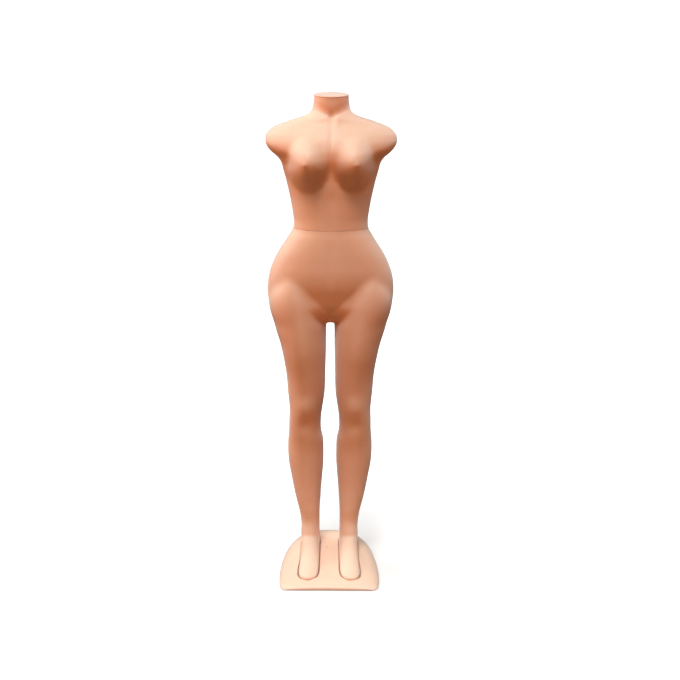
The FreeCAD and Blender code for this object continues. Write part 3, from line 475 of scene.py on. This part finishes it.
torso = skin_of("torso_shell", "torso_skin", [(UP * TORSO_BOTTOM, -UP), (NECK_END, CAP_UP)])
relax(torso.data, rounds=14)
grow(torso.data, SHRINK)
press(torso.data, mirrored(torso_details))
relax(torso.data, rounds=3)
outline, inward = edit(torso, torso_rims)
thicken(torso)

lower = skin_of("lower_body_shell", "lower_body_skin", [(UP * LOWER_TOP, UP)])
relax(lower.data, rounds=14)
where_legs_join = span(points_of(lower.data)[:, 2], 0.80, 0.86, 1.0, 1.05)
relax(lower.data, rounds=45, weight=where_legs_join)
grow(lower.data, SHRINK)
press(lower.data, mirrored(lower_details))
press_in(lower.data, mirrored(behind), BACK)
relax(lower.data, rounds=4)
edit(lower, lambda mesh: waist_rim(mesh, LOWER_TOP, UP))
thicken(lower)


def neck_cap():
    """The lid over the neck, flush with the neck all round, with its skirt inside."""
    mesh = bmesh.new()
    base = [p + CAP_UP * (LIP + CAP_REVEAL) for p in outline]
    edge_foot = CAP_THICK - CAP_EDGE

    def row(inset, rise):
        return [p + d * inset + CAP_UP * rise for p, d in zip(base, inward)]

    loop = [mesh.verts.new(p) for p in row(SKIRT_OUTSIDE, 0)]
    lid = [row(LIP, 0), row(0.3 * LIP, 0.3 * LIP), row(0, LIP), row(0, edge_foot)]
    for turn in (25, 50, 75, 90):
        angle = math.radians(turn)
        lid.append(row(CAP_EDGE * (1 - math.cos(angle)), edge_foot + CAP_EDGE * math.sin(angle)))
    for inset, crown in ((8, 0), (20, 0.1), (35, 0.15)):
        lid.append(row(inset * MM, CAP_THICK + crown * MM))
    add_rows(mesh, loop, lid, closed=True)
    skirt = [row(SKIRT_OUTSIDE, -SKIRT_DEPTH), row(SKIRT_INSIDE, -SKIRT_DEPTH), row(SKIRT_INSIDE, 0)]
    add_rows(mesh, loop, skirt, closed=True)
    return object_from(mesh, "neck_lid")


def base_skin():
    """The moulded base with every edge above its underside softened, and its bolt seats left flat."""
    thing = remeshed(bmesh_of("base_shell"), "base_skin", BASE_VOXEL)
    points = points_of(thing.data)
    loose = ramp(points[:, 2], 8 * MM, 14 * MM)
    washers = points_of(nodes["foot_washers"].data)
    for side in (-1, 1):
        for end in (-1, 1):
            ours = washers[(washers[:, 0] * side > 0) & ((washers[:, 1] - BETWEEN_BOLTS_Y) * end > 0)]
            x, y, z = (ours.min(axis=0) + ours.max(axis=0)) / 2
            seat = np.hypot(points[:, 0] - x, points[:, 1] - y) < BOLT_SEAT_RADIUS
            loose[seat & (points[:, 2] < z + 2 * MM)] = 0
    for x, y in VENTS:
        loose *= ramp(np.hypot(points[:, 0] - x, points[:, 1] - y), 4 * MM, 8 * MM)
    relax(thing.data, rounds=7, weight=loose)
    press_in(thing.data, vents, -UP)
    return thing


cap = neck_cap()
base = base_skin()
for thing, body, node in (
    (torso, "torso", "torso_shell"),
    (lower, "lower_body", "lower_body_shell"),
    (cap, "neck_cap", "neck_cap"),
    (base, "lower_body", "base_shell"),
):
    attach(thing, body)
    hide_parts(node)
    thing.data.shade_smooth()

# ---------------------------------------------------------------- materials


def linear(red, green, blue):
    """A colour as the eye sees it, 0 to 255 each, in the shader's own scale."""
    return tuple(((c / 255 + 0.055) / 1.055) ** 2.4 for c in (red, green, blue)) + (1.0,)


WHITE = (1, 1, 1, 1)
PEACH_DEEP = linear(225, 122, 68)
PEACH = linear(228, 128, 74)
PEACH_LIGHT = linear(231, 135, 81)
# The pale colour of the painted highlight and painted bounce light on the body plastic.
PAINTED_LIGHT_PALE = linear(252, 236, 212)
SPECKS = (0.75, 0.7, 0.65, 1)
SHEEN_TINT = (1.0, 0.95, 0.88, 1.0)
BLACK, BLACK_SCUFFED = linear(24, 24, 26), linear(62, 61, 60)
RUBBER, RUBBER_DUSTY = linear(28, 28, 29), linear(62, 60, 57)
FIBRE_DARK, FIBRE_PALE = linear(88, 60, 38), linear(140, 104, 70)
ZINC_DULL, ZINC_BRIGHT = linear(138, 136, 130), linear(196, 196, 192)
BRASS_DULL, BRASS_BRIGHT = linear(150, 112, 58), linear(214, 176, 102)
PAPER = linear(236, 234, 231)


class Shader:
    """A new material's nodes, placed in the object's own metres."""

    def __init__(self, name):
        self.material = bpy.data.materials.new(name)
        self.material.use_nodes = True
        self.tree = self.material.node_tree
        self.surface = self.tree.nodes["Principled BSDF"]
        self.place = self.node("ShaderNodeTexCoord").outputs["Object"]

    def node(self, kind, settings=None, **values):
        made = self.tree.nodes.new(kind)
        for name, value in (settings or {}).items():
            setattr(made, name, value)
        for name, value in values.items():
            self.feed(made.inputs[name.replace("_", " ")], value)
        return made

    def feed(self, socket, value):
        if isinstance(value, bpy.types.NodeSocket):
            self.tree.links.new(value, socket)
        else:
            socket.default_value = value

    def noise(self, scale, detail=3.0, stretch=(1, 1, 1)):
        """Noise between 0 and 1 with about scale blobs to the metre."""
        spread = self.node("ShaderNodeMapping", Vector=self.place, Scale=stretch)
        made = self.node("ShaderNodeTexNoise", Vector=spread.outputs[0], Scale=scale, Detail=detail)
        return made.outputs[0]

    def between(self, value, low, high, start=0.0, end=1.0):
        """A number that goes from low to high as value goes from start to end."""
        ends = {"From_Min": start, "From_Max": end, "To_Min": low, "To_Max": high}
        return self.node("ShaderNodeMapRange", Value=value, **ends).outputs[0]

    def upward(self, vector):
        """The upward part of a vector."""
        return self.node("ShaderNodeSeparateXYZ", Vector=vector).outputs[2]

    def mixed(self, share, first, second, blend="MIX"):
        """The first colour with a share of the second."""
        made = self.node("ShaderNodeMix", {"data_type": "RGBA", "blend_type": blend}, Factor=share)
        self.feed(made.inputs["A"], first)
        self.feed(made.inputs["B"], second)
        return made.outputs["Result"]

    def colours(self, share, *stops):
        """A colour picked by share from (place, colour) stops."""
        ramp_node = self.node("ShaderNodeValToRGB", Fac=share)
        elements = ramp_node.color_ramp.elements
        for element, (place, colour) in zip(elements, (stops[0], stops[-1])):
            element.position, element.color = place, colour
        for place, colour in stops[1:-1]:
            elements.new(place).color = colour
        return ramp_node.outputs[0]

    def bump(self, *layers):
        """Bumps, each (height from 0 to 1, depth in metres)."""
        normal = None
        for height, depth in layers:
            made = self.node("ShaderNodeBump", Height=height, Distance=depth, Strength=1.0)
            if normal:
                self.feed(made.inputs["Normal"], normal)
            normal = made.outputs[0]
        self.feed(self.surface.inputs["Normal"], normal)

    def set(self, **values):
        for name, value in values.items():
            self.feed(self.surface.inputs[name.replace("_", " ")], value)


def body_plastic():
    """Peach moulded plastic: a satin skin, slightly wavy, with fine grain and faint scuffs; its colour
    carries a painted highlight that pales it on upward-facing surfaces and painted bounce light that pales
    it low down.
    """
    skin = Shader("body_plastic")
    tone = skin.colours(skin.noise(5.0), (0.3, PEACH_DEEP), (0.5, PEACH), (0.7, PEACH_LIGHT))
    specks = skin.colours(skin.noise(420.0, 2.0), (0.35, SPECKS), (0.6, WHITE))
    facing_up = skin.upward(skin.node("ShaderNodeNewGeometry").outputs["Normal"])
    # Painted highlight: the colour pales towards white where the surface faces up, standing in for the
    # light from overhead.
    painted_highlight_on_top = skin.between(facing_up, 0.0, 0.5, -0.25, 0.6)
    # Painted bounce light: the colour pales from the knees down to the base, standing in for light thrown
    # up from the base top.
    painted_bounce_light_low_down = skin.between(skin.upward(skin.place), 0.0, 0.14, 0.45, 0.08)
    # The painted highlight and the painted bounce light added into one share of the pale colour.
    dust_and_painted_light = skin.node("ShaderNodeMath", {"operation": "ADD"})
    skin.feed(dust_and_painted_light.inputs[0], painted_highlight_on_top)
    skin.feed(dust_and_painted_light.inputs[1], painted_bounce_light_low_down)
    grain = (skin.noise(1500.0, 2.0), 0.04 * MM)
    pebbling = (skin.noise(260.0, 2.0), 0.05 * MM)
    waviness = (skin.noise(22.0, 2.0), 0.5 * MM)
    skin.bump(grain, pebbling, waviness)
    scuffs = skin.noise(60.0, 5.0, (1, 1, 0.35))
    skin.set(
        # Base colour: the peach tones with specks, paled by the painted highlight and the painted bounce
        # light.
        Base_Color=skin.mixed(dust_and_painted_light.outputs[0], skin.mixed(0.06, tone, specks, "MULTIPLY"), PAINTED_LIGHT_PALE),
        Roughness=skin.between(scuffs, 0.46, 0.62),
        Specular_IOR_Level=0.45,
        Subsurface_Weight=0.22,
        Subsurface_Radius=(0.9, 0.45, 0.25),
        Subsurface_Scale=5 * MM,
        Sheen_Weight=skin.between(facing_up, 0.05, 0.9, -0.45, 0.1),
        Sheen_Roughness=0.45,
        Sheen_Tint=SHEEN_TINT,
    )
    return skin.material


def moulded_plastic(name, dark, light, rough, grain):
    """Injection moulded plastic with a spark eroded grain and scuffed high spots."""
    part = Shader(name)
    rub = part.noise(90.0, 5.0)
    part.bump((part.noise(grain, 1.0), 0.06 * MM), (part.noise(30.0, 2.0), 0.15 * MM))
    part.set(
        Base_Color=part.colours(rub, (0.42, dark), (0.72, light)),
        Roughness=part.between(rub, rough, rough + 0.18),
        Specular_IOR_Level=0.4,
    )
    return part.material


def turned_metal(name, dull, bright, rough):
    """Metal with fine turning marks, a plated bloom and a few dull stains."""
    part = Shader(name)
    marks = part.noise(240.0, 3.0, (1, 1, 14))
    stains = part.noise(160.0, 5.0)
    part.bump((marks, 0.015 * MM), (part.noise(900.0, 2.0), 0.01 * MM))
    part.set(
        Base_Color=part.colours(stains, (0.36, dull), (0.58, bright)),
        Metallic=1.0,
        Roughness=part.between(stains, rough + 0.16, rough),
    )
    return part.material


def rubber():
    part = Shader("rubber")
    dust_and_painted_light = part.noise(110.0, 5.0)
    part.bump((part.noise(1300.0, 2.0), 0.05 * MM))
    part.set(
        Base_Color=part.colours(dust_and_painted_light, (0.45, RUBBER), (0.75, RUBBER_DUSTY)),
        Roughness=part.between(dust_and_painted_light, 0.72, 0.92),
        Specular_IOR_Level=0.3,
    )
    return part.material


def fibre():
    """Pressed friction fibre: short dark strands in a brown mat."""
    part = Shader("friction_fibre")
    strands = part.noise(520.0, 4.0, (1, 0.3, 1))
    part.bump((strands, 0.08 * MM))
    part.set(
        Base_Color=part.colours(strands, (0.38, FIBRE_DARK), (0.62, FIBRE_PALE)),
        Roughness=0.88,
    )
    return part.material


MATERIALS = {
    "body_plastic": body_plastic(),
    "fitting_plastic": moulded_plastic("fitting_plastic", BLACK, BLACK_SCUFFED, 0.42, 1100.0),
    "friction_fibre": fibre(),
    "zinc_steel": turned_metal("zinc_steel", ZINC_DULL, ZINC_BRIGHT, 0.24),
    "insert_brass": turned_metal("insert_brass", BRASS_DULL, BRASS_BRIGHT, 0.26),
    "rubber": rubber(),
}
SLOTS = {row["node"]: row["material_slot"] for row in frame["record"]["subparts"]}


def dress(thing, slot):
    """Gives a piece the material of the record's slot that it stands for."""
    thing.data.materials.clear()
    thing.data.materials.append(MATERIALS[slot])


for name, node in nodes.items():
    dress(node, SLOTS[name])
for thing in (torso, lower, cap, base):
    dress(thing, "body_plastic")

# ---------------------------------------------------------------- studio


FIGURE_MIDDLE = (0, 0, 0.9)
BASE_FOOT = (0, 0, 0.02)
SWEEP_FLAT, SWEEP_BEND, SWEEP_TOP, SWEEP_SIDES = 4.5, 2.0, 7.0, 48
CAMERA_PLACE = (0.0, -3.0, 1.6)
CAMERA_TILT, CAMERA_ROLL = 15.5, 0.24


def softbox(name, place, size, watts, target=FIGURE_MIDDLE, spread=180):
    """A soft rectangular light that faces its target."""
    light = bpy.data.lights.new(name, "AREA")
    light.shape = "RECTANGLE"
    light.size, light.size_y = size
    light.energy = watts
    light.spread = math.radians(spread)
    thing = bpy.data.objects.new(name, light)
    bpy.context.scene.collection.objects.link(thing)
    thing.location = place
    thing.rotation_euler = (Vector(target) - Vector(place)).to_track_quat("-Z", "Y").to_euler()


def studio_sweep():
    """A pale paper sweep, flat under the figure and curved up into a wall, lit from within far out."""
    profile = [(0.8, 0.0), (1.6, 0.0), (2.4, 0.0), (SWEEP_FLAT, 0.0)]
    for angle in np.linspace(0, math.pi / 2, 10)[1:]:
        profile.append((SWEEP_FLAT + SWEEP_BEND * math.sin(angle), SWEEP_BEND * (1 - math.cos(angle))))
    profile.append((SWEEP_FLAT + SWEEP_BEND, SWEEP_TOP))

    def ring(radius, height):
        turns = np.linspace(0, 2 * math.pi, SWEEP_SIDES, endpoint=False)
        return [(radius * math.cos(turn), radius * math.sin(turn), height) for turn in turns]

    mesh = bmesh.new()
    middle = [mesh.verts.new(point) for point in ring(*profile[0])]
    mesh.faces.new(middle)
    add_rows(mesh, middle, [ring(*place) for place in profile[1:]])
    sweep = object_from(mesh, "studio_sweep")
    sweep.data.shade_smooth()
    paper = Shader("studio_paper")
    away = paper.node("ShaderNodeVectorMath", {"operation": "LENGTH"}, Vector=paper.place).outputs["Value"]
    paper.bump((paper.noise(700.0, 3.0), 0.05 * MM))
    paper.set(
        Base_Color=PAPER,
        Roughness=0.85,
        Specular_IOR_Level=0.2,
        Emission_Color=WHITE,
        Emission_Strength=paper.between(away, 0.25, 1.0, 0.22, 1.0),
    )
    sweep.data.materials.append(paper.material)
    sweep.visible_diffuse = False
    sweep.visible_glossy = False
    sweep.visible_shadow = False


studio_sweep()
softbox("key", (-0.7, -2.5, 5.4), (1.7, 1.7), 208.0)
softbox("above_behind", (0.0, 1.6, 3.6), (3.0, 1.6), 25.0)
softbox("left_side", (-2.8, 0.4, 2.0), (1.0, 2.6), 70.0)
softbox("right_side", (2.8, 0.4, 2.0), (1.0, 2.6), 27.0)
softbox("front", (0.0, -3.4, 2.0), (2.4, 1.2), 6.0, target=(0, 0, 0.7))
softbox("fill", (0.0, -4.2, 0.4), (2.6, 1.0), 44.0)
softbox("low_front", (0.0, -1.3, 0.1), (1.4, 0.2), 0.7, target=BASE_FOOT, spread=54)

world = bpy.data.worlds.new("studio")
bpy.context.scene.world = world
world.use_nodes = True
sky = world.node_tree.nodes["Background"].inputs
sky["Color"].default_value = WHITE
sky["Strength"].default_value = 0.05
bpy.context.scene.view_settings.view_transform = "Standard"

camera_data = bpy.data.cameras.new("camera")
camera = bpy.data.objects.new("camera", camera_data)
bpy.context.scene.collection.objects.link(camera)
bpy.context.scene.camera = camera
camera.location = CAMERA_PLACE
pitch = Matrix.Rotation(math.radians(90 - CAMERA_TILT), 3, "X")
roll = Matrix.Rotation(math.radians(CAMERA_ROLL), 3, "Z")
camera.rotation_euler = (pitch @ roll).to_euler()
camera_data.lens = 54.0
camera_data.sensor_width = 36.0
camera_data.shift_x = 0.0143

bpy.context.view_layer.update()
